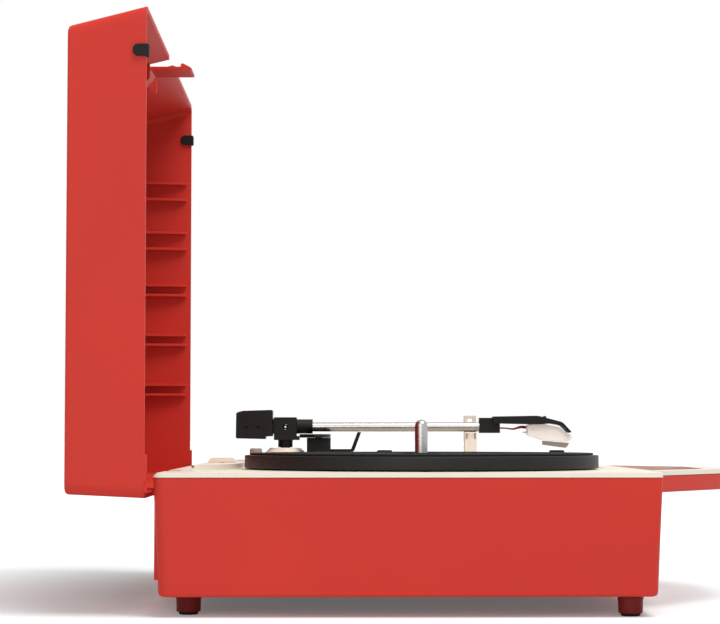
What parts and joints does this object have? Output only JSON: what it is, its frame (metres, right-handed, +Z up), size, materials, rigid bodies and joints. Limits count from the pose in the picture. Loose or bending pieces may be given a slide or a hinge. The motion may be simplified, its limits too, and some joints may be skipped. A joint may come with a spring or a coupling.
{
  "type": "portable record player",
  "caption": "Portable record player in a carrying case with a bow handle: belt-driven platter, tonearm with cue lever, lid hinged at the rear with a sprung latch.",
  "frame": {"origin": "on the floor, at the centre of the object's plan with the lid open", "axes": "+X to the player's right (the tonearm side), -Y to the front (the handle side), +Z up"},
  "size_m": [0.3328, 0.3574, 0.3097],
  "materials": {
    "case_red": "fine satin grain",
    "foot_red": "satin",
    "deck_cream": "satin",
    "black_plastic": "fine matt grain",
    "black_rubber": "matt",
    "platter_black": "satin",
    "bright_steel": "polished",
    "motor_steel": "zinc plated",
    "brass": "turned",
    "white_plastic": "satin",
    "grey_plastic": "satin",
    "board_green": "lacquered",
    "cone_paper": "pressed paper",
    "lead_red": "satin"
  },
  "bodies": {
    "base": {"case_tub": "case_red", "deck_plate": "deck_cream", "foot_cup_front_left": "foot_red", "foot_cup_front_right": "foot_red", "foot_cup_rear_left": "foot_red", "foot_cup_rear_right": "foot_red", "foot_pad_front_left": "black_rubber", "foot_pad_front_right": "black_rubber", "foot_pad_rear_left": "black_rubber", "foot_pad_rear_right": "black_rubber", "case_screw_front_left": "motor_steel", "case_screw_front_right": "motor_steel", "case_screw_rear_left": "motor_steel", "case_screw_rear_right": "motor_steel", "battery_tray": "black_plastic", "battery_door": "case_red", "socket_plate": "black_plastic", "dc_socket": "black_plastic", "line_socket": "brass", "circuit_board": "board_green", "speaker_frame_left": "black_plastic", "speaker_frame_right": "black_plastic", "speaker_cone_left": "cone_paper", "speaker_cone_right": "cone_paper", "motor": "motor_steel", "drive_belt": "black_rubber", "spindle": "bright_steel", "platter_washer": "white_plastic", "arm_base": "deck_cream", "arm_rest": "deck_cream", "cue_block": "black_plastic", "volume_control": "motor_steel", "tone_control": "motor_steel", "hinge_pin_left": "motor_steel", "hinge_pin_right": "motor_steel"},
    "lid": {"lid_shell": "case_red", "bumper_clip_left": "black_rubber", "bumper_clip_right": "black_rubber", "latch_pin": "motor_steel", "latch_spring": "motor_steel"},
    "latch": {"latch_tongue": "case_red"},
    "platter": {"platter": "platter_black", "platter_mat": "black_rubber"},
    "pulley": {"motor_pulley": "brass"},
    "arm_swing": {"arm_yoke": "black_plastic", "arm_pin": "bright_steel"},
    "arm_lift": {"arm_carrier": "black_plastic", "counterweight": "black_plastic", "arm_tube": "bright_steel", "head_shell": "black_plastic", "cartridge": "white_plastic", "stylus_guard": "grey_plastic", "lead_red": "lead_red", "lead_black": "black_plastic"},
    "cue_lever": {"cue_lever": "black_plastic"},
    "cue_platform": {"cue_platform": "black_plastic"},
    "speed_slider": {"speed_slider": "deck_cream"},
    "pitch_knob": {"pitch_knob": "grey_plastic"},
    "volume_knob": {"volume_knob": "black_plastic"},
    "tone_knob": {"tone_knob": "black_plastic"}
  },
  "joints": [
    {"name": "lid_hinge", "type": "hinge", "parent": "base", "child": "lid", "pos_m": [0, 0.1291, 0.06485], "axis": [-1, 0, 0], "range_deg": [-90, 0]},
    {"name": "latch_pivot", "type": "hinge", "parent": "lid", "child": "latch", "pos_m": [0, 0.15545, 0.2987], "axis": [1, 0, 0], "range_deg": [0, 6], "stiffness_Nm_per_rad": 0.05, "springref_deg": -17.19},
    {"name": "platter_spin", "type": "hinge", "parent": "base", "child": "platter", "pos_m": [-0.045, -0.00525, 0.0726], "axis": [0, 0, -1], "continuous": true},
    {"name": "pulley_spin", "type": "hinge", "parent": "base", "child": "pulley", "pos_m": [-0.1, -0.06025, 0.0726], "axis": [0, 0, -1], "continuous": true},
    {"name": "arm_swing", "type": "hinge", "parent": "base", "child": "arm_swing", "pos_m": [0.1, 0.07425, 0.0966], "axis": [0, 0, -1], "range_deg": [0, 44]},
    {"name": "arm_lift", "type": "hinge", "parent": "arm_swing", "child": "arm_lift", "pos_m": [0.1, 0.07425, 0.0966], "axis": [-1, 0, 0], "range_deg": [0, 4]},
    {"name": "cue_lever_turn", "type": "hinge", "parent": "base", "child": "cue_lever", "pos_m": [0.10855, 0.05325, 0.0818], "axis": [-1, 0, 0], "range_deg": [0, 20]},
    {"name": "cue_platform_rise", "type": "slide", "parent": "base", "child": "cue_platform", "axis": [0, 0, 1], "range_m": [0, 0.00112]},
    {"name": "speed_select", "type": "slide", "parent": "base", "child": "speed_slider", "axis": [1, 0, 0], "range_m": [0, 0.008]},
    {"name": "pitch_turn", "type": "hinge", "parent": "base", "child": "pitch_knob", "pos_m": [0.05, 0.09075, 0.08], "axis": [0, 0, -1], "range_deg": [-140, 140]},
    {"name": "volume_turn", "type": "hinge", "parent": "base", "child": "volume_knob", "pos_m": [0.135, 0.01125, 0.08], "axis": [0, 0, -1], "range_deg": [0, 300]},
    {"name": "tone_turn", "type": "hinge", "parent": "base", "child": "tone_knob", "pos_m": [0.135, -0.09975, 0.08], "axis": [0, 0, -1], "range_deg": [0, 300]}
  ],
  "couplings": [
    {"joint": "pulley_spin", "follows": "platter_spin", "ratio": 15.25},
    {"joint": "cue_lever_turn", "follows": "arm_lift", "ratio": 5},
    {"joint": "cue_platform_rise", "follows": "arm_lift", "m_per_rad": 0.016}
  ]
}
